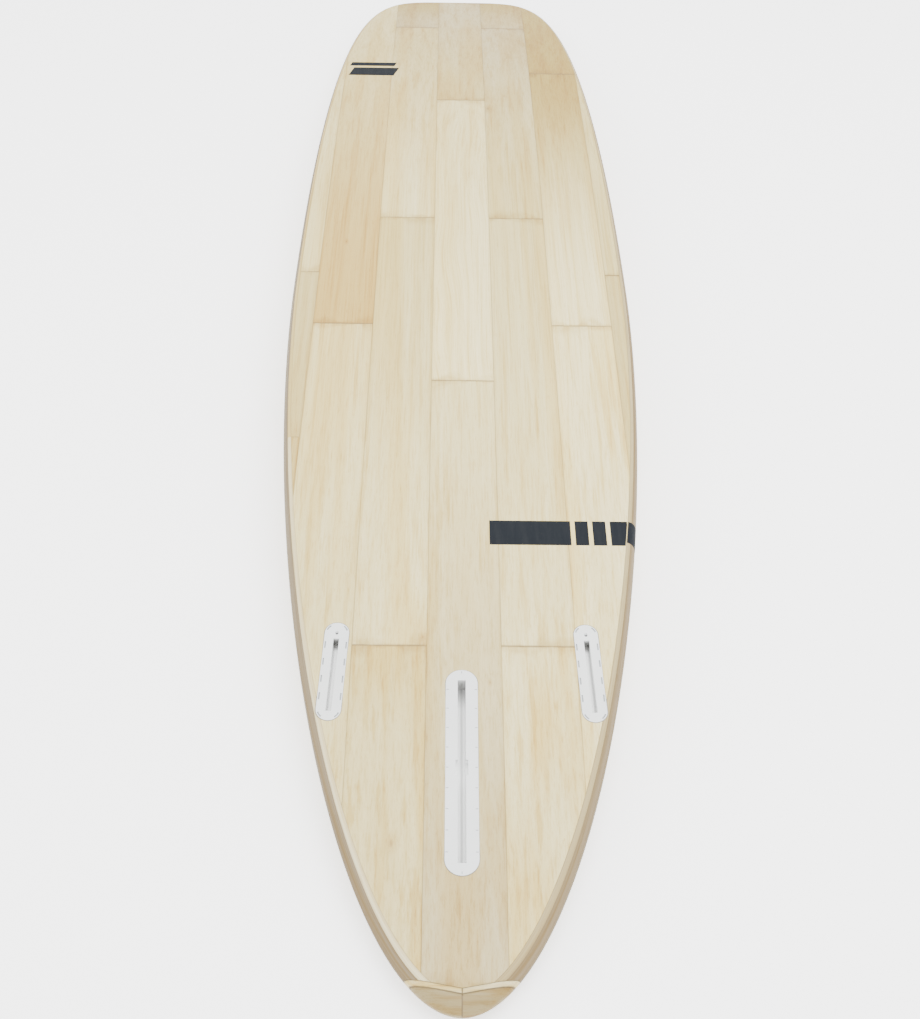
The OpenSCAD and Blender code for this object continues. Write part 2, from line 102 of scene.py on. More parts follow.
def outline(n):
    """Right half of the outline as n even steps, with the unit normal that points out."""
    a = np.linspace(0, np.pi / 2, 6000)
    b = np.pi / 2 * (1 - (1 - np.linspace(0, 1, 9000)) ** 3)
    x = np.concatenate([HALF_W * np.sin(a) ** (2 / TAIL_Q), HALF_W * np.cos(b) ** (2 / NOSE_Q)])
    y = np.concatenate([WIDE_Y * (1 - np.cos(a) ** (2 / TAIL_P)),
                        WIDE_Y + FRONT_L * np.sin(b) ** (2 / NOSE_P)])
    x[0], y[0], x[-1], y[-1] = 0, 0, 0, BOARD_L
    s = np.concatenate([[0], np.cumsum(np.hypot(np.diff(x), np.diff(y)))])
    even = np.linspace(0, s[-1], n)
    x, y = np.interp(even, s, x), np.interp(even, s, y)
    back = y < WIDE_Y
    q, p = np.where(back, TAIL_Q, NOSE_Q), np.where(back, TAIL_P, NOSE_P)
    length = np.where(back, WIDE_Y, FRONT_L)
    nx = q * (x / HALF_W) ** (q - 1) / HALF_W
    ny = np.where(back, -1, 1) * p * (abs(y - WIDE_Y) / length) ** (p - 1) / length
    size = np.hypot(nx, ny)
    return x, y, nx / size, ny / size


EDGE_X, EDGE_Y, NORMAL_X, NORMAL_Y = outline(560)


def rail_show(y):
    """Width of the rails as seen from the bottom."""
    return np.interp(y, [0, 0.35 * BOARD_L, BOARD_L], [17, 12, 8])


def rocker(y):
    """How far the bottom curves away from flat towards nose and tail."""
    ahead = np.clip((y - FLAT_Y) / (BOARD_L - FLAT_Y), 0, None)
    behind = np.clip((FLAT_Y - y) / FLAT_Y, 0, None)
    return NOSE_ROCKER * ahead ** 2.4 + TAIL_ROCKER * behind ** 2.2


def deck_drop(y):
    """Depth of the deck under the bottom's flat middle: rocker and thickness."""
    return rocker(y) + THICKNESS * (1 - 0.72 * (abs(y - THICK_Y) / (BOARD_L - THICK_Y)) ** 2.6)


LEAN = (deck_drop(BOARD_L - DECK_ROLL) - deck_drop(DECK_ROLL)) / (BOARD_L - 2 * DECK_ROLL)


def bottom_z(y):
    z = deck_drop(DECK_ROLL) + LEAN * (y - DECK_ROLL) - rocker(y)
    return np.minimum(z, TOP_Z)


def deck_z(x, y):
    y = np.clip(y, DECK_ROLL, BOARD_L - DECK_ROLL)
    level = deck_drop(DECK_ROLL) + LEAN * (y - DECK_ROLL) - deck_drop(y)
    return np.maximum(level + DECK_DOME * (x / HALF_W) ** 2, 0)


def apex_z(x, y):
    """Height of the rail's widest line."""
    top = bottom_z(y)
    return top - np.interp(y, [0, BOARD_L], [0.34, 0.5]) * (top - deck_z(x, y))


def side_point(i, e, deck):
    """Point of the hull's outside, a distance e in from outline point i."""
    x, y = EDGE_X[i] - e * NORMAL_X[i], EDGE_Y[i] - e * NORMAL_Y[i]
    roll = DECK_ROLL if deck else rail_show(EDGE_Y[i])
    drop = 1 - math.sqrt(max(0.0, 1 - max(0.0, 1 - e / roll) ** 2))
    flat = deck_z(x, y) if deck else bottom_z(y)
    return x, y, flat + (apex_z(EDGE_X[i], EDGE_Y[i]) - flat) * drop


def inset_half_width(distance):
    """Half width against y of the outline moved in by a distance."""
    d = distance(EDGE_Y) if callable(distance) else distance
    y, x = EDGE_Y - d * NORMAL_Y, EDGE_X - d * NORMAL_X
    order = np.argsort(y)
    return lambda at: np.interp(at, y[order], x[order])


skin_half = inset_half_width(rail_show)
deck_half = inset_half_width(DECK_ROLL)


# ---- Mesh helpers ----
def make_object(name, verts_mm, faces, near=None, far=None, smooth_deg=35):
    """A mesh object from points in millimetres, y from the tail. The optional UV map near
    holds each vertex's distances, in metres, from the piece's left and tail edges, and far
    those from its right and nose edges."""
    mesh = bpy.data.meshes.new(name)
    v = np.asarray(verts_mm, float) * MM - np.array([0, BOARD_L * MM / 2, 0])
    mesh.from_pydata([tuple(p) for p in v], [], faces)
    mesh.validate()
    bm = bmesh.new()
    bm.from_mesh(mesh)
    bmesh.ops.recalc_face_normals(bm, faces=bm.faces)
    for label, data in (("near", near), ("far", far)):
        if data is not None:
            layer = bm.loops.layers.uv.new(label)
            for face in bm.faces:
                for loop in face.loops:
                    loop[layer].uv = [c * MM for c in data[loop.vert.index]]
    bm.to_mesh(mesh)
    bm.free()
    obj = add_object(name, mesh)
    smooth(obj, smooth_deg)
    return obj


def smooth(obj, degrees):
    """Smooth shading that keeps edges sharper than the angle."""
    bm = bmesh.new()
    bm.from_mesh(obj.data)
    for f in bm.faces:
        f.smooth = True
    for e in bm.edges:
        if len(e.link_faces) == 2:
            e.smooth = e.calc_face_angle(0) < math.radians(degrees)
    bm.to_mesh(obj.data)
    bm.free()


def grid_shell(rows, n):
    """Faces of a closed tube whose rings have n points each, with capped ends."""
    faces = []
    for r in range(rows - 1):
        for j in range(n):
            a, b = r * n + j, r * n + (j + 1) % n
            faces.append((a, a + n, b + n, b))
    faces.append(tuple(range(n)))
    faces.append(tuple(range((rows - 1) * n, rows * n))[::-1])
    return faces


# ---- Material helpers ----
def srgb(r, g, b):
    """Linear colour from 8-bit sRGB."""
    c = np.array([r, g, b]) / 255
    lin = np.where(c <= 0.04045, c / 12.92, ((c + 0.055) / 1.055) ** 2.4)
    return (*[float(v) for v in lin], 1.0)


class Nodes:
    """Short names for the few node kinds the materials are made of."""

    def __init__(self, name):
        self.mat = bpy.data.materials.new(name)
        self.mat.use_nodes = True
        self.tree = self.mat.node_tree
        self.shader = self.tree.nodes["Principled BSDF"]
        self.coord = self.tree.nodes.new("ShaderNodeTexCoord").outputs["Object"]

    @classmethod
    def of(cls, mat):
        """Goes on with a material that this class has made."""
        again = cls.__new__(cls)
        again.mat, again.tree = mat, mat.node_tree
        again.shader = mat.node_tree.nodes["Principled BSDF"]
        again.coord = mat.node_tree.nodes["Texture Coordinate"].outputs["Object"]
        return again

    def new(self, kind, **inputs):
        node = self.tree.nodes.new("ShaderNode" + kind)
        for key, value in inputs.items():
            self.put(node.inputs[key.replace("_", " ")], value)
        return node

    def put(self, socket, value):
        if isinstance(value, bpy.types.NodeSocket):
            self.tree.links.new(value, socket)
        else:
            socket.default_value = value

    def maths(self, op, a, b=0.0, c=0.0):
        node = self.new("Math")
        node.operation = op
        for socket, value in zip(node.inputs, (a, b, c)):
            self.put(socket, value)
        return node.outputs[0]

    def mapped(self, scale, offset=(0, 0, 0), coord=None):
        node = self.new("Mapping", Vector=coord or self.coord)
        node.inputs["Scale"].default_value = scale
        node.inputs["Location"].default_value = offset
        return node.outputs[0]

    def noise(self, vector, scale=1.0, detail=2.0, rough=0.5, distortion=0.0):
        node = self.new("TexNoise", Vector=vector, Scale=scale, Detail=detail,
                        Roughness=rough, Distortion=distortion)
        return node.outputs[0]

    def ramp(self, value, low, high, to_low=0.0, to_high=1.0, linear=False):
        node = self.new("MapRange")
        node.interpolation_type = "LINEAR" if linear else "SMOOTHSTEP"
        for key, v in (("Value", value), ("From Min", low), ("From Max", high),
                       ("To Min", to_low), ("To Max", to_high)):
            self.put(node.inputs[key], v)
        return node.outputs[0]

    def rough(self, noise, satin, dull):
        """Roughness that follows a noise between two values."""
        return self.ramp(noise, 0.3, 0.7, satin, dull, linear=True)

    def mix(self, factor, a, b, kind="MIX"):
        node = self.new("Mix")
        node.data_type, node.blend_type = "RGBA", kind
        self.put(node.inputs[0], factor)
        self.put(node.inputs[6], a)
        self.put(node.inputs[7], b)
        return node.outputs[2]

    def uv(self, name):
        """The two distances of a UV map that make_object wrote."""
        node = self.new("UVMap")
        node.uv_map = name
        split = self.new("SeparateXYZ", Vector=node.outputs[0])
        return split.outputs[0], split.outputs[1]

    def bump(self, height, distance):
        return self.new("Bump", Height=height, Distance=distance, Strength=1.0).outputs[0]

    def distance(self, vector, point):
        """Distance of a vector from a fixed point."""
        node = self.new("VectorMath", Vector=vector)
        node.operation = "DISTANCE"
        self.put(node.inputs[1], point)
        return node.outputs["Value"]

    def finish(self, colour, roughness, normal=None, **plain):
        """Links colour, roughness and normal, and sets the shader's plain numbers."""
        self.put(self.shader.inputs["Base Color"], colour)
        self.put(self.shader.inputs["Roughness"], roughness)
        if normal is not None:
            self.put(self.shader.inputs["Normal"], normal)
        for key, value in plain.items():
            self.shader.inputs[key.replace("_", " ")].default_value = value
        return self.mat


# What each layer of the wood multiplies red, green and blue by. Streaks lose blue first
TINTS = {
    "band": (0.91, 0.80, 0.52), "cloud": (0.88, 0.84, 0.74), "ring": (0.87, 0.78, 0.57),
    "pale_ring": (1.07, 1.09, 1.18), "fibre": (0.87, 0.81, 0.68), "pore": (0.84, 0.77, 0.64),
    "knot": (0.80, 0.68, 0.46), "knot_heart": (0.60, 0.50, 0.38), "wear_and_shade": (0.62, 0.59, 0.56),
    "end_stain": (0.74, 0.66, 0.50), "side_stain": (0.80, 0.73, 0.60),
}
JOINT_DARK, GLUE_DARK = srgb(112, 92, 58), srgb(88, 72, 46)


class Wood(Nodes):
    """Nodes of one piece of paulownia. colour is what its layers have made so far."""

    def __init__(self, name, seed, along_y, follow, cathedral):
        super().__init__(name)
        draw = random.Random(seed)
        self.offset = tuple(draw.uniform(-5, 5) for _ in range(3))
        self.along_y = along_y
        self.place = self.new("SeparateXYZ", Vector=self.coord).outputs
        if follow:
            bent = self.new("CombineXYZ", X=self.uv("near")[0], Y=self.place[1])
            self.coord = bent.outputs[0]
        # The growth lines wander a little, and more where the board was cut near the heart
        wander = self.maths("SUBTRACT", self.field(6, 0.3, detail=1), 0.5)
        bend = self.maths("MULTIPLY", wander, 0.045)
        if cathedral:
            arch = self.maths("SUBTRACT", self.field(9, 2.2, detail=1.5), 0.5)
            bend = self.maths("MULTIPLY_ADD", arch, 0.09 * cathedral, bend)
        shift = self.new("CombineXYZ", **{"X" if along_y else "Y": bend})
        moved = self.new("VectorMath")
        self.put(moved.inputs[0], self.coord)
        self.put(moved.inputs[1], shift.outputs[0])
        self.moved = moved.outputs[0]

    def stretched(self, across, along):
        return (across, along, across) if self.along_y else (along, across, across)

    def field(self, across, along, **options):
        """Noise with so many features a metre across the grain and along it."""
        return self.noise(self.mapped(self.stretched(across, along), self.offset), **options)

    def lines(self, per_m, step, **options):
        """Long growth lines, so many a metre. Each kind has its own step."""
        offset = tuple(o + step for o in self.offset)
        scale = self.stretched(per_m, 0.010 * per_m)
        return self.noise(self.mapped(scale, offset, self.moved), **options)

    def layer(self, amount, kind):
        self.colour = self.mix(amount, self.colour, (*TINTS[kind], 1), "MULTIPLY")

    def knot(self, x, y, radius, fibres):
        """A small knot at x and y from the tail, in millimetres, drawn out along the grain."""
        long, r = 0.45, radius * MM
        spot = self.distance(self.mapped((1, long, 0)), (x * MM, long * metres(y), 0))
        ragged = self.maths("MULTIPLY_ADD", fibres, r, spot)
        self.layer(self.ramp(ragged, 0.6 * r, 3.2 * r, 0.75, 0), "knot")
        self.layer(self.ramp(ragged, 0.4 * r, 1.3 * r, 0.8, 0), "knot_heart")

    def edge_marks(self, joint, wear_and_shade):
        """Stains and joints at the piece's own edges, whose distances the UV maps hold."""
        ax, ay = self.uv("near")
        bx, by = self.uv("far")
        side, end = self.maths("MINIMUM", ax, bx), self.maths("MINIMUM", ay, by)
        wobble = self.field(55, 55, detail=4, rough=0.6)
        blot = self.ramp(self.field(26, 14), 0.35, 0.65)
        # Glue and resin soak into the end grain and darken it, more in some places
        soak = self.maths("MULTIPLY_ADD", blot, 0.030, 0.004)
        stain = self.maths("MULTIPLY", self.ramp(end, 0.0, soak, 1, 0),
                           self.ramp(wobble, 0.30, 0.62, 0.3, 1))
        self.layer(self.maths("MULTIPLY", stain, 0.85 * joint), "end_stain")
        self.layer(self.ramp(side, 0.0, 0.005, 0.22, 0), "side_stain")
        patchy = self.ramp(self.field(40, 8), 0.34, 0.60, 0.25, 1)
        seam = self.maths("MULTIPLY", self.ramp(side, 0.0003, 0.0014, 0.34, 0), patchy)
        cut = self.maths("MULTIPLY", self.ramp(end, 0.0005, 0.0024, 0.72 * joint, 0),
                         self.ramp(patchy, 0, 1, 0.5, 1))
        self.colour = self.mix(self.maths("MAXIMUM", seam, cut), self.colour, JOINT_DARK)
        # Painted shade: the middle of the piece, away from its edges, is darkened; on the outer rail
        # this is the shade along its widest line
        self.layer(self.ramp(side, 0.006, 0.019, 0, wear_and_shade), "wear_and_shade")

    def glue_lines(self):
        """Joints of the tail pieces: down the middle, and along both sides of the strip."""
        across = self.maths("ABSOLUTE", self.place[0])
        from_strip = self.maths("ADD", self.place[1], -metres(BLOCK_Y))
        chevron = self.maths("MULTIPLY_ADD", across, -CHEVRON, from_strip)
        behind = self.maths("ABSOLUTE", self.maths("ADD", chevron, STRIP_T * MM))
        gap = self.maths("MINIMUM", self.maths("ABSOLUTE", chevron), behind)
        gap = self.maths("MINIMUM", across, gap)
        self.colour = self.mix(self.ramp(gap, 0.0004, 0.0011, 0.8, 0), self.colour, GLUE_DARK)


def wood(name, tail, nose, seed, ends=(0.0, 1.0), streak=0.7, dirt=0.3, grain="Y",
         cathedral=0.0, pale_strip=0.0, knots=(), follow=False, wear_and_shade=0.0, joint=1.0):
    """Satin paulownia whose colour runs from tail to nose between its ends, in metres along
    Y. The grain runs along Y or X, or with follow it keeps its distance from the piece's
    edge. Each knot is (x, y from the tail, radius), in millimetres. With wear_and_shade the
    middle of the piece's face, away from its edges, is darkened as painted shade, which on the
    outer rail stands for the shade along its widest line, and the wood has no coat and less
    shine, as sanded wood. Joint is how dark its ends are."""
    n = Wood(name, seed, grain == "Y", follow, cathedral)
    bands = n.lines(26 if n.along_y else 75, 0.0)
    rings = n.lines(105, 3.1, detail=3, rough=0.65)
    fibres = n.lines(420, 5.3, detail=3, rough=0.75)
    cloud = n.field(7, 1.6, detail=3)
    pores = n.field(1100, 45, detail=1)

    n.colour = tail if tail == nose else n.mix(n.ramp(n.place[1], *ends), tail, nose)
    if pale_strip:
        inner = n.maths("MULTIPLY", n.ramp(n.place[0], 0.172, 0.166), pale_strip)
        n.colour = n.mix(inner, n.colour, WHITE)
    n.layer(n.ramp(bands, 0.42, 0.64, 0, streak), "band")
    n.layer(n.ramp(cloud, 0.40, 0.70, 0, dirt), "cloud")
    n.layer(n.ramp(rings, 0.50, 0.68, 0, 0.45 + 0.55 * streak), "ring")
    n.layer(n.ramp(rings, 0.50, 0.32, 0, 0.8), "pale_ring")
    n.layer(n.ramp(fibres, 0.48, 0.66, 0, 0.9), "fibre")
    n.layer(n.ramp(pores, 0.60, 0.76, 0, 0.8), "pore")
    for x, y, radius in knots:
        n.knot(x, y, radius, fibres)
    if n.along_y:
        n.edge_marks(joint, wear_and_shade)
    else:
        n.glue_lines()
    fine = n.maths("MULTIPLY", fibres, 0.5)
    height = n.maths("MULTIPLY_ADD", n.ramp(pores, 0.60, 0.76), -0.6, fine)
    return n.finish(n.colour, n.rough(fibres, 0.46, 0.60), n.bump(height, 0.00007),
                    Coat_Weight=0.0 if wear_and_shade else 0.15, Coat_Roughness=0.35,
                    Specular_IOR_Level=0.08 if wear_and_shade else 0.3)


WHITE = srgb(218, 205, 151)
PALE = srgb(207, 193, 138)
CREAM = srgb(196, 181, 124)
STRAW = srgb(186, 168, 110)
GOLD = srgb(184, 156, 84)
HONEY = srgb(161, 137, 60)
ASH = srgb(176, 161, 116)

# Plank: column, tail end, nose end, colour at the tail and nose ends, and wood() options
TAIL_Y, NOSE_Y = 18, BOARD_L - 8
BOTTOM = {
    "bottom_plank_centre_nose": (0, 1834, NOSE_Y, STRAW, ASH, {}),
    "bottom_plank_centre_middle": (0, 948, 1834, WHITE, PALE, {"cathedral": 0.8, "streak": 0.35}),
    "bottom_plank_centre_tail": (0, TAIL_Y, 948, ASH, PALE, {"knots": [(35, 400, 1.6)]}),
    "bottom_plank_inner_left_nose": (-1, 2236, NOSE_Y, ASH, HONEY, {}),
    "bottom_plank_inner_left_front": (-1, 1385, 2236, PALE, STRAW, {"streak": 0.8}),
    "bottom_plank_inner_left_middle": (-1, 454, 1385, PALE, CREAM,
                                      {"dirt": 0.6, "knots": [(-49, 467, 1.8)]}),
    "bottom_plank_inner_left_tail": (-1, TAIL_Y, 454, CREAM, CREAM,
                                    {"streak": 1.3, "dirt": 0.5, "knots": [(-80, 187, 4.0)]}),
    "bottom_plank_inner_right_nose": (1, 2236, NOSE_Y, ASH, HONEY, {}),
    "bottom_plank_inner_right_front": (1, 1385, 2236, CREAM, ASH,
                                      {"dirt": 0.4, "knots": [(56, 1797, 5.0), (90, 1856, 1.4)]}),
    "bottom_plank_inner_right_middle": (1, 454, 1385, PALE, CREAM, {"dirt": 0.55}),
    "bottom_plank_inner_right_tail": (1, TAIL_Y, 454, CREAM, PALE, {"streak": 1.3, "dirt": 0.4}),
    "bottom_plank_outer_left_nose": (-2, 1083, NOSE_Y, GOLD, CREAM,
                                    {"streak": 0.6, "knots": [(-192, 1308, 2.2)]}),
    "bottom_plank_outer_left_tail": (-2, TAIL_Y, 1083, CREAM, PALE, {"streak": 0.7}),
    "bottom_plank_outer_right_nose": (2, 1970, NOSE_Y, HONEY, HONEY, {"streak": 0.6}),
    "bottom_plank_outer_right_middle": (2, 1083, 1970, WHITE, HONEY, {"streak": 0.5}),
    "bottom_plank_outer_right_tail": (2, TAIL_Y, 1083, PALE, WHITE, {"pale_strip": 0.6}),
    "bottom_plank_edge_left_nose": (-3, 1219, NOSE_Y, PALE, CREAM, {}),
    "bottom_plank_edge_left_middle": (-3, 821, 1219, STRAW, STRAW, {"joint": 0.4}),
    "bottom_plank_edge_left_tail": (-3, TAIL_Y, 821, STRAW, STRAW, {"joint": 0.1}),
    "bottom_plank_edge_right_nose": (3, 1219, NOSE_Y, CREAM, CREAM, {}),
    "bottom_plank_edge_right_tail": (3, TAIL_Y, 1219, STRAW, STRAW, {}),
}
DECK = {
    "deck_plank_centre": (0, CREAM, CREAM),
    "deck_plank_inner_left": (-1, PALE, CREAM), "deck_plank_inner_right": (1, ASH, CREAM),
    "deck_plank_outer_left": (-2, CREAM, ASH), "deck_plank_outer_right": (2, PALE, STRAW),
    "deck_plank_edge_left": (-3, CREAM, CREAM), "deck_plank_edge_right": (3, CREAM, CREAM),
}


# ---- Planks ----
NO_JOINT = 100.0    # millimetres: so far off that no joint colour shows


def plank(name, column, y1, y2, shift, half, outer_z, inward):
    """A plank that follows the hull: a closed solid with chamfered outer edges. Inward is 1
    if the hull's inside is above the skin, and -1 if it is below."""
    chamfer, count, row_l, sliver = 0.35, 9, 9, 0.05
    left, right = (column - 0.5) * PLANK_W + shift, (column + 0.5) * PLANK_W + shift
    fine = np.linspace(y1, y2, max(8, int((y2 - y1) * 5)))
    h = half(fine)
    ok = fine[np.minimum(right, h) - np.maximum(left, -h) > sliver]
    # Where the plank runs out to a point there is no end joint to darken
    tail_tip, nose_tip = NO_JOINT * (ok[0] > y1 + 1), NO_JOINT * (ok[-1] < y2 - 1)
    y1, y2 = ok[0], ok[-1]
    even = np.linspace(y1 + chamfer, y2 - chamfer, max(4, int((y2 - y1) / row_l)))
    # Closer rows where a plank may run out to the outline, and one at each of its corners
    corners = np.concatenate([fine[:-1][np.diff(np.sign(h - abs(edge))) != 0]
                              for edge in (left, right)])
    close = np.geomspace(1, 40, 12)
    rows = np.unique(np.concatenate([[y1], even, [y2], y1 + close, y2 - close, corners]))
    rows = rows[(rows >= y1) & (rows <= y2)]
    verts, near, far = [], [], []
    for k, y in enumerate(rows):
        hy = float(half(y))
        a, b = max(left, -hy), min(right, hy)
        c = min(chamfer, (b - a) / 4)
        end = k in (0, len(rows) - 1)
        xs = [a, *np.linspace(a + c, b - c, count), b]
        ring = []
        for j, x in enumerate(xs):
            low = end or j in (0, len(xs) - 1)
            ring.append((x, y, outer_z(x, y) + inward * (chamfer if low else 0)))
        ring += [(x, y, outer_z(x, y) + inward * PLY_T) for x in xs[::-1]]
        verts += ring
        near += [(x - left, y - y1 + tail_tip) for x, _, _ in ring]
        far += [(right - x, y2 - y + nose_tip) for x, _, _ in ring]
    return make_object(name, verts, grid_shell(len(rows), 2 * (count + 2)), near, far)


def wedge_cutter(name, y):
    """A block that fills everything behind the chevron of the tail pieces."""
    wide, back, low, high = 400, -80, -60, 200
    shape = [(0, y), (wide, y + CHEVRON * wide), (wide, back), (-wide, back),
             (-wide, y + CHEVRON * wide)]
    verts = [(px, py, low) for px, py in shape] + [(px, py, high) for px, py in shape]
    n = len(shape)
    faces = [tuple(range(n)), tuple(range(n, 2 * n))[::-1]]
    faces += [(i, (i + 1) % n, n + (i + 1) % n, n + i) for i in range(n)]
    return make_object(name, verts, faces)


def boolean(obj, cutter, operation="DIFFERENCE"):
    """Applies a boolean with the cutter and keeps the result as the object's new mesh."""
    mod = obj.modifiers.new("cut", "BOOLEAN")
    mod.operation, mod.object, mod.solver = operation, cutter, "EXACT"
    apply_modifiers(obj)


def apply_modifiers(obj):
    graph = bpy.context.evaluated_depsgraph_get()
    mesh = bpy.data.meshes.new_from_object(obj.evaluated_get(graph))
    mesh.name = obj.name
    obj.modifiers.clear()
    old = obj.data
    obj.data = mesh
    bpy.data.meshes.remove(old)


def hull_slope(y, half_length):
    """Angle of the bottom under a fitting that spans y by its half length."""
    ends = np.array([y - half_length, y + half_length])
    z = deck_drop(DECK_ROLL) + LEAN * (ends - DECK_ROLL) - rocker(ends)
    return math.atan((z[1] - z[0]) / (2 * half_length))


def placed(x, y, slope, turn=0.0, sink=0.0):
    """Matrix, in metres, of a fitting on the bottom at x and y."""
    m = Matrix.Translation(Vector((x, y - BOARD_L / 2, float(bottom_z(y)))) * MM)
    return m @ Matrix.Rotation(slope, 4, "X") @ Matrix.Rotation(math.radians(turn), 4, "Z") \
        @ Matrix.Translation((0, 0, -sink * MM))


def stadium_points(length, width, steps=24):
    r, half = width / 2, length / 2 - width / 2
    pts = []
    for end, start in ((1, 0), (-1, math.pi)):
        for i in range(steps + 1):
            a = start + math.pi * i / steps
            pts.append((r * math.cos(a), end * half + r * math.sin(a)))
    return pts


def prism(name, points, low, high, matrix):
    """Upright prism from plan points in millimetres, placed by a matrix in metres."""
    n = len(points)
    verts = [(x, y, low) for x, y in points] + [(x, y, high) for x, y in points]
    faces = [tuple(range(n))[::-1], tuple(range(n, 2 * n))]
    faces += [(i, (i + 1) % n, n + (i + 1) % n, n + i) for i in range(n)]
    mesh = bpy.data.meshes.new(name)
    mesh.from_pydata([tuple(matrix @ (Vector(v) * MM)) for v in verts], [], faces)
    return add_object(name, mesh)


def dress(obj, node, material):
    """Gives a piece of the board its material and lets it take its CAD node's place."""
    obj.data.materials.clear()
    obj.data.materials.append(material)
    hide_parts(node)
    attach(obj, "board")


# Fin boxes: middle from the tail, flange length and width, and the clearance round a flange
CENTRE_BOX_Y, CENTRE_BOX_L, CENTRE_BOX_W = 283, 270, 39.5
SIDE_BOX_Y, SIDE_BOX_L, SIDE_BOX_W = 416, 144, 31
SIDE_BOX_X, SIDE_BOX_TURN = 159.5, 2.0
FIT, SLOPE_SPAN = 0.3, 60
CENTRE_AT = placed(0, CENTRE_BOX_Y, hull_slope(CENTRE_BOX_Y, SLOPE_SPAN), sink=0.5)
SIDE_AT = {s: placed(s * SIDE_BOX_X, SIDE_BOX_Y, hull_slope(SIDE_BOX_Y, SLOPE_SPAN),
                     turn=s * SIDE_BOX_TURN) for s in (-1, 1)}


def box_cutter(length, width, matrix):
    return prism("cut_box", stadium_points(length + FIT, width + FIT), -30, 20, matrix)


cut_centre = box_cutter(CENTRE_BOX_L, CENTRE_BOX_W, CENTRE_AT)
cut_side = {s: box_cutter(SIDE_BOX_L, SIDE_BOX_W, SIDE_AT[s]) for s in (-1, 1)}
cut_tail = wedge_cutter("cut_tail", BLOCK_Y)

plank_seed = 11
for name, (column, y1, y2, tail, nose, extra) in BOTTOM.items():
    obj = plank(name + "_wood", column, y1, y2, PLANK_SHIFT, skin_half,
                lambda x, y: float(bottom_z(y)), -1)
    if y1 == TAIL_Y:
        boolean(obj, cut_tail)
    if y1 < CENTRE_BOX_Y and column == 0:
        boolean(obj, cut_centre)
    if y1 < SIDE_BOX_Y + SIDE_BOX_L / 2 and column in (-2, 1, 2):
        boolean(obj, cut_side[1 if column > 0 else -1])
    plank_seed += 7
    dress(obj, name, wood(name, tail, nose, plank_seed, (metres(y1), metres(y2)), **extra))


# Round openings in the deck for the leash cup and the vent: place from the tail, and radius
DECK_HOLES = ((105, 16.2), (1560, 12.2))
cut_deck = []
for y, r in DECK_HOLES:
    circle = [(r * math.cos(a), r * math.sin(a)) for a in np.linspace(0, 2 * math.pi, 65)[:-1]]
    on_deck = Matrix.Translation(Vector((0, y - BOARD_L / 2, float(deck_z(0, y)))) * MM)
    cut_deck.append(prism("cut_deck", circle, -20, 20, on_deck))

WHOLE = (metres(0), metres(BOARD_L))
for name, (column, tail, nose) in DECK.items():
    obj = plank(name + "_wood", column, DECK_ROLL + 1, BOARD_L - DECK_ROLL - 1, 0, deck_half,
                lambda x, y: float(deck_z(x, y)), 1)
    if column == 0:
        for cutter in cut_deck:
            boolean(obj, cutter)
    plank_seed += 7
    dress(obj, name, wood(name, tail, nose, plank_seed, WHOLE))


# ---- Rails ----
def roll_steps(e0, roll, count):
    """Distances in from the edge, evenly spaced round the roll, from e0 to the edge."""
    start = math.asin(1 - e0 / roll)
    return [roll * (1 - math.sin(start + (math.pi / 2 - start) * k / count))
            for k in range(count + 1)]


def sweep(name, ring_of, side, last=len(EDGE_X)):
    """Sweeps a ring of (e, deck side?, drop) along the outline, up to its last point."""
    verts, near, far = [], [], []
    rings = [ring_of(i) for i in range(last)]
    for i, ring in enumerate(rings):
        points = [side_point(i, e, deck) for e, deck, _ in ring]
        if min(e for e, _, _ in ring) > 0:
            across = [e for e, _, _ in ring]
        else:
            # A piece that goes round the rail is measured along its surface
            across = [0.0]
            for p, q in zip(points, points[1:]):
                across.append(across[-1] + math.dist(p, q))
        for (x, y, z), (_, _, drop), d in zip(points, ring, across):
            verts.append((side * x, y, z + drop))
            near.append((d - min(across), NO_JOINT))
            far.append((max(across) - d, NO_JOINT))
    return make_object(name, verts, grid_shell(len(rings), len(rings[0])), near, far, 50)


# Each piece's corners are cut back a little, so that a fine groove shows between two pieces
OUTER_SHARE = 0.58
CORNER, GROOVE = 0.6, 0.25
INNER_TOP = -3.2    # the inner rail lies under the bottom skin and its glue


def outer_ring(i):
    show = float(rail_show(EDGE_Y[i]))
    e0 = OUTER_SHARE * show
    tops = roll_steps(e0 - CORNER, show, 9)
    lows = roll_steps(e0 - CORNER, DECK_ROLL, 9)
    return [(e0, False, -GROOVE)] + [(e, False, 0) for e in tops] \
        + [(e, True, 0) for e in lows[::-1][1:]] + [(e0, True, GROOVE)]


def middle_ring(i):
    e1 = float(rail_show(EDGE_Y[i]))
    e0 = OUTER_SHARE * e1
    inside = np.linspace(e1 - CORNER, e0 + CORNER, 5)
    return [(e1, False, -GROOVE)] + [(e, False, 0) for e in inside] + [(e0, False, -GROOVE)] \
        + [(e0, True, GROOVE)] + [(e, True, 0) for e in inside[::-1]] + [(e1, True, GROOVE)]


def inner_ring(i):
    e0, e1 = float(rail_show(EDGE_Y[i])), DECK_ROLL
    across = np.linspace(e0 + CORNER, e1 - CORNER, 6)
    return [(e1, False, INNER_TOP), (e0, False, INNER_TOP), (e0, True, GROOVE)] \
        + [(e, True, 0) for e in across] + [(e1, True, GROOVE)]


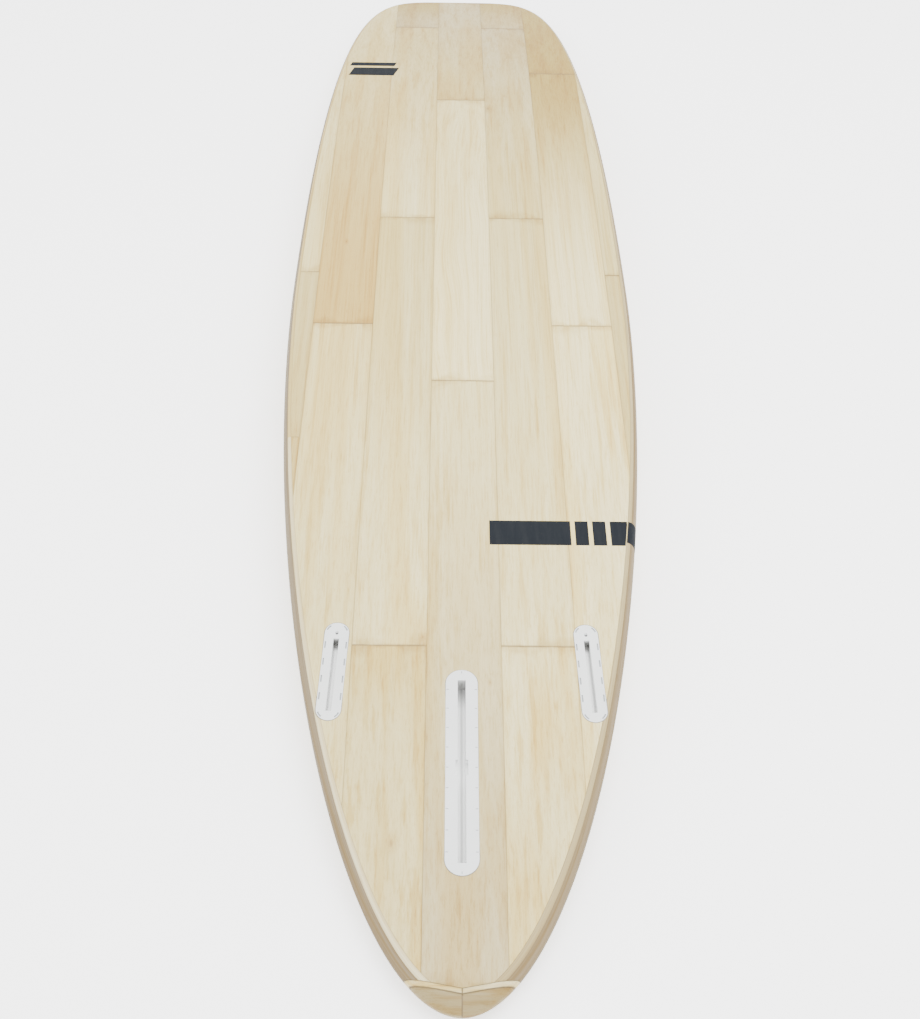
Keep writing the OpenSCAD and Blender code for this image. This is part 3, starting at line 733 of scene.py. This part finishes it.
# Rail: its ring, and its colours at the tail and nose ends, left and right
RAILS = {
    "rail_outer": (outer_ring, {-1: (srgb(126, 114, 93), srgb(106, 95, 74)),
                                1: (srgb(126, 113, 91), srgb(130, 117, 92))}),
    "rail_middle": (middle_ring, {-1: (srgb(200, 191, 155), STRAW),
                                  1: (srgb(160, 146, 106), srgb(176, 162, 118))}),
    "rail_inner": (inner_ring, {-1: (CREAM, CREAM), 1: (CREAM, CREAM)}),
}
for part, (ring_of, colours) in RAILS.items():
    outer = part == "rail_outer"
    for side, label in ((-1, "left"), (1, "right")):
        name = f"{part}_{label}"
        obj = sweep(name + "_wood", ring_of, side)
        boolean(obj, cut_tail)
        if not outer:
            boolean(obj, cut_side[side])
        plank_seed += 7
        # The pale strip beside the left planks gives way to a darker one at a joint
        ends = (metres(820), metres(822)) if name == "rail_middle_left" else WHOLE
        # The outer rail gets painted shade along its widest line, and no coat
        material = wood(name, *colours[side], plank_seed, ends, 0.8 if outer else 0.6, 0.6,
                        follow=True, wear_and_shade=0.6 if outer else 0.0)
        dress(obj, name, material)


# ---- Tail block ----
BLOCK_E = DECK_ROLL + 4    # where the block's ring closes, under the skin


def block_ring(i):
    show = float(rail_show(EDGE_Y[i]))
    tops = roll_steps(show, show, 12)
    lows = roll_steps(DECK_ROLL, DECK_ROLL, 12)
    return [(BLOCK_E, False, 0)] + [(e, False, 0) for e in tops] \
        + [(e, True, 0) for e in lows[::-1][1:]] + [(BLOCK_E, True, 0)]


GLUE = 0.12
TAIL_PIECES = {
    "tail_block": (None, BLOCK_Y - STRIP_T - GLUE, srgb(134, 119, 80), "rail_wood"),
    "tail_strip": (BLOCK_Y - STRIP_T, BLOCK_Y - GLUE, srgb(192, 179, 136), "pale_wood"),
}
TAIL_REACH = 110    # the tail pieces end well short of this
tail_last = int(np.argmax(EDGE_Y > TAIL_REACH))
for side, label in ((-1, "left"), (1, "right")):
    for part, (from_y, to_y, tint, slot) in TAIL_PIECES.items():
        name = f"{part}_{label}"
        obj = sweep(name + "_wood", block_ring, side, tail_last)
        keep = wedge_cutter("keep", to_y)
        boolean(obj, keep, "INTERSECT")
        bpy.data.objects.remove(keep)
        if from_y is not None:
            lose = wedge_cutter("lose", from_y)
            boolean(obj, lose)
            bpy.data.objects.remove(lose)
        plank_seed += 7
        dress(obj, name, wood(name, tint, tint, plank_seed, streak=1.2, dirt=0.6, grain="X"))


for cutter in [cut_centre, cut_tail, *cut_side.values(), *cut_deck]:
    bpy.data.objects.remove(cutter)


# ---- Printed film and resin lines ----
FILM_T, FILM_SINK = 0.15, 0.05
EDGE_GAP, PAST_SEAM = 0.5, 0.8    # film stops short of the skin's edge and starts past the seam
UP = np.array([0, 0, 1.0])


def film(name, bars, slant, wrap=False):
    """Thin bars of film on the bottom, each (x1, x2, y1, y2) with slanted ends. With wrap
    one more goes from the skin's edge over the rail to its widest line, as long along the
    board as the last bar."""
    verts, faces = [], []

    def sheet(rows):
        """Adds one closed bar. rows[r][c] is (point on the surface, unit vector out of it)."""
        base, n = len(verts), len(rows[0])
        flat = [cell for row in rows for cell in row]
        verts.extend(p + FILM_T * u for p, u in flat)
        verts.extend(p - FILM_SINK * u for p, u in flat)
        half = len(flat)
        for r in range(len(rows) - 1):
            for c in range(n - 1):
                a = base + r * n + c
                faces.append((a, a + 1, a + n + 1, a + n))
                faces.append((half + a, half + a + n, half + a + n + 1, half + a + 1))
        rim = [(r, 0) for r in range(len(rows))] + [(len(rows) - 1, c) for c in range(1, n)] \
            + [(r, n - 1) for r in range(len(rows) - 2, -1, -1)] \
            + [(0, c) for c in range(n - 2, 0, -1)]
        ring = [base + r * n + c for r, c in rim]
        for p, q in zip(ring, ring[1:] + ring[:1]):
            faces.append((p, q, half + q, half + p))

    for x1, x2, y1, y2 in bars:
        rows = []
        for y in np.linspace(y1, y2, max(4, int((y2 - y1) / 5))):
            edge = float(skin_half(y)) - EDGE_GAP
            lean = slant * (y - y1)
            a, b = max(x1 + lean, -edge), min(x2 + lean, edge)
            rows.append([(np.array([x, y, float(bottom_z(y))]), UP) for x in np.linspace(a, b, 6)])
        sheet(rows)
    if wrap:
        y1, y2 = bars[-1][2:]
        near = [i for i in range(len(EDGE_X)) if y1 <= EDGE_Y[i] <= y2]
        rows = []
        for i in near:
            show = float(rail_show(EDGE_Y[i]))
            row = []
            for e in roll_steps(show - PAST_SEAM, show, 12):
                p = np.array(side_point(i, e, False))
                tilt = math.acos(min(1.0, max(0.0, e / show)))
                flat = np.array([NORMAL_X[i], NORMAL_Y[i], 0])
                row.append((p, math.sin(tilt) * flat + math.cos(tilt) * UP))
            rows.append(row)
        sheet(rows)
    return make_object(name, verts, faces)


stripe_bars = [(x1, x2, 620, 663) for x1, x2 in ((38, 148), (154, 172), (178, 196), (202, 226))]
FILMS = {
    "stripe_decal": film("stripe_film", stripe_bars, 0.0, wrap=True),
    "nose_bar_heavy": film("nose_film_heavy", [(-226, -134, 1950, 1990)], 0.25),
    "nose_bar_thin": film("nose_film_thin", [(-226, -134, 2000, 2018)], 0.25),
}


def resin_line(name, matrix, length, width):
    """The fine line of resin round a flange, from the flange's face to the skin."""
    lap, spread = 0.3, 1.5
    inside = stadium_points(length - lap, width - lap)
    outside = stadium_points(length + spread, width + spread)
    back = matrix.inverted()
    n = len(inside)
    verts = []
    for pts, lift in ((inside, 0.04), (outside, 0.05), (outside, -0.4), (inside, -0.4)):
        for x, y in pts:
            p = matrix @ (Vector((x, y, 0)) * MM)
            if pts is outside:
                p.z = float(bottom_z(p.y / MM + BOARD_L / 2)) * MM
                p = matrix @ (back @ p + Vector((0, 0, lift * MM)))
            else:
                p = matrix @ (Vector((x, y, lift)) * MM)
            verts.append((p.x / MM, p.y / MM + BOARD_L / 2, p.z / MM))
    faces = [(k * n + i, k * n + (i + 1) % n, (k + 1) % 4 * n + (i + 1) % n, (k + 1) % 4 * n + i)
             for k in range(4) for i in range(n)]
    return make_object(name, verts, faces)


RESIN = [resin_line("resin_line_centre", CENTRE_AT, CENTRE_BOX_L, CENTRE_BOX_W)] \
    + [resin_line(f"resin_line_{label}", SIDE_AT[side], SIDE_BOX_L, SIDE_BOX_W)
       for side, label in ((-1, "left"), (1, "right"))]


# ---- Moulded and metal parts keep their CAD shape ----
def plastic(name, colour, shade, rough, grain_scale=900):
    """Moulded plastic with fine texture and faint flow marks."""
    n = Nodes(name)
    speckle = n.noise(n.mapped((grain_scale,) * 3), detail=2)
    flow = n.noise(n.mapped((22, 9, 22)), detail=3, distortion=0.4)
    colour = n.mix(n.ramp(flow, 0.35, 0.72, 0, 0.5), colour, shade)
    colour = n.mix(n.ramp(speckle, 0.55, 0.8, 0, 0.15), colour, shade)
    return n.finish(colour, n.rough(speckle, rough - 0.05, rough + 0.08), n.bump(speckle, 0.00004),
                    Specular_IOR_Level=0.45)


def metal(name, bright=1.0):
    """Stainless steel with fine turning marks, and duller after years in salt water."""
    n = Nodes(name)
    marks = n.noise(n.mapped((2600, 2600, 300)), detail=3)
    stain = n.noise(n.mapped((160, 160, 160)), detail=3)
    clean, dull = (srgb(*(bright * c for c in tone)) for tone in ((176, 178, 180), (132, 130, 126)))
    colour = n.mix(n.ramp(stain, 0.4, 0.8, 0, 0.5), clean, dull)
    return n.finish(colour, n.rough(marks, 0.24, 0.42), n.bump(marks, 0.00002), Metallic=1.0)


def foam(name, colour, shade, beads_per_m):
    """Bead foam: pale rounded cells with darker joints."""
    n = Nodes(name)
    cells = n.new("TexVoronoi", Vector=n.coord, Scale=beads_per_m).outputs["Distance"]
    joint = n.ramp(cells, 0.35, 0.75, 0, 0.6)
    return n.finish(n.mix(joint, colour, shade), n.ramp(joint, 0, 0.6, 0.75, 0.9, linear=True),
                    n.bump(cells, 0.0004))


def ink(name):
    """Dark printed film, rubbed thin in places."""
    n = Nodes(name)
    wear = n.noise(n.mapped((90, 12, 90)), detail=4, rough=0.65)
    speck = n.noise(n.mapped((700, 160, 700)), detail=1)
    colour = n.mix(n.ramp(wear, 0.35, 0.72, 0, 0.55), srgb(25, 28, 32), srgb(34, 36, 39))
    colour = n.mix(n.ramp(speck, 0.66, 0.84, 0, 0.2), colour, srgb(58, 57, 52))
    return n.finish(colour, n.rough(speck, 0.60, 0.72), Specular_IOR_Level=0.05)


def resin(name):
    """Resin over the wood's cut edge, partly painted shadow: its dark grey-brown stands for the
    shadow line round the flange as well as aged resin.
    """
    n = Nodes(name)
    tone = n.noise(n.mapped((120, 120, 120)), detail=3)
    colour = n.mix(n.ramp(tone, 0.3, 0.7), srgb(104, 98, 84), srgb(130, 122, 104))
    return n.finish(colour, n.rough(tone, 0.25, 0.40), n.bump(tone, 0.00005))


def box_plastic(name, matrix, depth, clear, slot_end, slot_front, front_shade_l, front_shade,
                slot_shade_x=0.0, screw_y=0.0):
    """White plastic whose shallow marks, deeper than depth, hold grey film. They lie outside
    the clear half width or past slot_end. Deep in the slot the plastic is painted lighter, as
    painted light. Painted shade darkens the slot's front end wall over front_shade_l before
    slot_front, by the share front_shade, and darkens round the screw's hole at screw_y. A line
    of painted shade lies along the slot's floor at slot_shade_x. The rest is in millimetres."""
    mat = plastic(name, srgb(209, 211, 210), srgb(197, 199, 198), 0.42)
    n = Nodes.of(mat)
    local = n.new("Mapping", Vector=n.coord)
    local.vector_type = "TEXTURE"
    local.inputs["Location"].default_value = matrix.to_translation()
    local.inputs["Rotation"].default_value = matrix.to_euler("XYZ")
    x, y, z = n.new("SeparateXYZ", Vector=local.outputs[0]).outputs

    def outside(axis, limit):
        edge, soft = limit * MM, 0.3 * MM
        return n.ramp(n.maths("ABSOLUTE", axis), edge, edge + soft, linear=True)

    low = n.ramp(z, -depth * MM, -0.6 * depth * MM, 1, 0, linear=True)
    marks = n.maths("MULTIPLY", low, n.maths("MAXIMUM", outside(x, clear), outside(y, slot_end)))
    # Painted light and shade inside the slot: deep down the plastic is painted lighter, a line of
    # painted shade runs along its floor, and painted shade darkens its front end wall
    deep = n.ramp(z, -0.0015, -0.004)
    from_line = n.maths("ABSOLUTE", n.maths("ADD", x, -slot_shade_x * MM))
    slot_shade_line = n.maths("MULTIPLY", n.ramp(from_line, 0.0005, 0.0024, 0.6, 0), n.ramp(z, -0.004, -0.009))
    front_shade_span = n.ramp(y, (slot_front - front_shade_l) * MM, (slot_front - 0.3 * front_shade_l) * MM, 0, front_shade)
    front_shade_mask = n.maths("MULTIPLY", deep, front_shade_span)
    plain = n.shader.inputs["Base Color"].links[0].from_socket
    # Painted light: deep in the slot the plastic is lighter than the flange, for light through the
    # translucent plastic
    colour = n.mix(deep, plain, srgb(244, 245, 244))
    # Painted shade: a dark line along the slot's floor, in the middle of the centre box and by the
    # outboard wall in the side boxes
    colour = n.mix(slot_shade_line, colour, srgb(150, 150, 148))
    # Painted shade: the slot's front end wall is darkened
    colour = n.mix(front_shade_mask, colour, srgb(96, 95, 91))
    if screw_y:
        hole = n.distance(n.mapped((1, 1, 0), coord=local.outputs[0]), (0, screw_y * MM, 0))
        # Painted shade round the set screw's hole, below the flange's face
        rim = n.maths("MULTIPLY", n.ramp(hole, 0.0028, 0.0034, 0.9, 0), n.ramp(z, -0.0001, -0.0004))
        colour = n.mix(rim, colour, srgb(92, 93, 94))
    n.put(n.shader.inputs["Base Color"], n.mix(marks, colour, srgb(144, 148, 150)))
    return mat


def finish_node(name, material, bevel=0.0):
    """Gives a CAD node its material, and rounds its edges by the bevel, in millimetres."""
    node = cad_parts[name]
    node.data.materials.clear()
    node.data.materials.append(material)
    for poly in node.data.polygons:
        poly.material_index = 0
    if bevel:
        mod = node.modifiers.new("edge_round", "BEVEL")
        mod.width, mod.segments, mod.limit_method = bevel * MM, 2, "ANGLE"
        mod.angle_limit = math.radians(40)
        mod.use_clamp_overlap = True
        mod.harden_normals = False


CENTRE_MARKS = dict(depth=0.3, clear=12, slot_end=122, slot_front=120, front_shade_l=30, front_shade=0.45)
SIDE_MARKS = dict(depth=0.5, clear=6, slot_end=65, slot_front=47.5, front_shade_l=12, front_shade=0.8, screw_y=54.5)
finish_node("centre_fin_box", box_plastic("centre_box_white", CENTRE_AT, **CENTRE_MARKS), 0.15)
for side, label in ((-1, "left"), (1, "right")):
    white = box_plastic(f"{label}_box_white", SIDE_AT[side], slot_shade_x=3.0 * side, **SIDE_MARKS)
    finish_node(f"side_fin_box_{label}", white, 0.15)

black_box = plastic("fitting_black", srgb(34, 34, 36), srgb(24, 24, 25), 0.45)
steel, salted = metal("stainless"), metal("stainless_salted", 0.4)
rubber = plastic("seal_black", srgb(22, 22, 22), srgb(14, 14, 14), 0.75, 1400)
core_foam = foam("core_foam", srgb(240, 240, 236), srgb(214, 214, 208), 320)
dense_foam = foam("dense_foam", srgb(206, 190, 140), srgb(170, 152, 104), 1100)
FITTINGS = {
    "leash_cup": (black_box, 0.3), "vent_body": (black_box, 0.2),
    "leash_bar": (steel, 0.2), "vent_screw": (steel, 0.15), "vent_seal": (rubber, 0),
    "set_screw_left": (salted, 0.12), "set_screw_right": (salted, 0.12),
    "foam_core": (core_foam, 0), "centre_box_insert": (dense_foam, 0),
    "side_box_insert_left": (dense_foam, 0), "side_box_insert_right": (dense_foam, 0),
    "leash_insert": (dense_foam, 0),
}
for name, (material, bevel) in FITTINGS.items():
    finish_node(name, material, bevel)
film_ink = ink("printed_ink")
for name, obj in FILMS.items():
    dress(obj, name, film_ink)
# The resin lines round the flanges are dark partly as painted shadow
resin_and_shadow = resin("resin_with_painted_shadow")
for obj in RESIN:
    obj.data.materials.append(resin_and_shadow)
    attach(obj, "board")


# ---- Floor, light and surroundings ----
def studio_floor():
    size = 30.0
    mesh = bpy.data.meshes.new("floor")
    mesh.from_pydata([(-size, -size, 0), (size, -size, 0), (size, size, 0), (-size, size, 0)],
                     [], [(0, 1, 2, 3)])
    floor = add_object("floor", mesh)
    n = Nodes("floor_white")
    cloud = n.noise(n.mapped((3, 3, 3)), detail=2)
    white = n.mix(cloud, (0.90, 0.90, 0.90, 1), (0.93, 0.93, 0.93, 1))
    mesh.materials.append(n.finish(white, 0.9, Specular_IOR_Level=0.1,
                                   Emission_Color=(1.0, 1.0, 1.0, 1), Emission_Strength=1.3))
    floor.location.z = -0.0005    # just under the board, so that the two share no plane


AIM = Vector((0, 0, 0.05))


def soft_light(name, location, size, watts):
    """A square lamp that faces the board."""
    data = bpy.data.lights.new(name, "AREA")
    data.shape, data.size, data.energy = "SQUARE", size, watts
    lamp = add_object(name, data)
    lamp.location = location
    lamp.rotation_euler = (AIM - Vector(location)).to_track_quat("-Z", "Y").to_euler()


studio_floor()
soft_light("key", (0.7, -0.2, 3.4), 3.0, 190)
soft_light("fill_left", (-3.2, -0.4, 2.0), 2.5, 42)
soft_light("fill_tail", (0.4, -3.6, 1.6), 2.5, 30)
world = bpy.data.worlds.new("studio")
bpy.context.scene.world = world
world.use_nodes = True
backdrop = world.node_tree.nodes["Background"].inputs
backdrop["Color"].default_value = (1.0, 1.0, 1.0, 1)
backdrop["Strength"].default_value = 2.5

bpy.context.view_layer.update()
